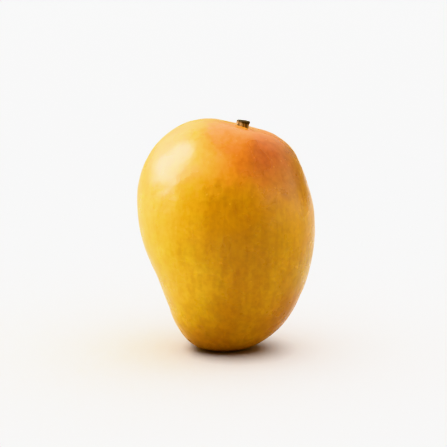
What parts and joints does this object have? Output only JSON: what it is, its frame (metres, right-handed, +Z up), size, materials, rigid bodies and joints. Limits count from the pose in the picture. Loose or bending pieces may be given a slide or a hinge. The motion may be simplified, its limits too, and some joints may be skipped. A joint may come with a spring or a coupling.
{
  "type": "mango",
  "caption": "Whole ripe mango of a short, plump, lopsided form with a blunt nose, standing on its tip, with the cut end of its stalk in a shallow dimple at the top.",
  "frame": {"origin": "middle of the small flat spot at the fruit's tip, which it stands on", "axes": "+Z up, from the tip to the stalk's end; +X across the fruit's width, towards its fuller lower side, which the stalk leans to; +Y through its thickness, away from the cheek that the picture shows"},
  "size_m": [0.0799, 0.0698, 0.1052],
  "materials": {
    "mango_skin": "satin waxy peel, golden yellow with an orange to rosy blush beside the stalk",
    "mango_stalk": "matte dry brown bark, with a darker cut end"
  },
  "bodies": {
    "root": {"fruit": "mango_skin", "stalk_stub": "mango_stalk"}
  },
  "joints": []
}
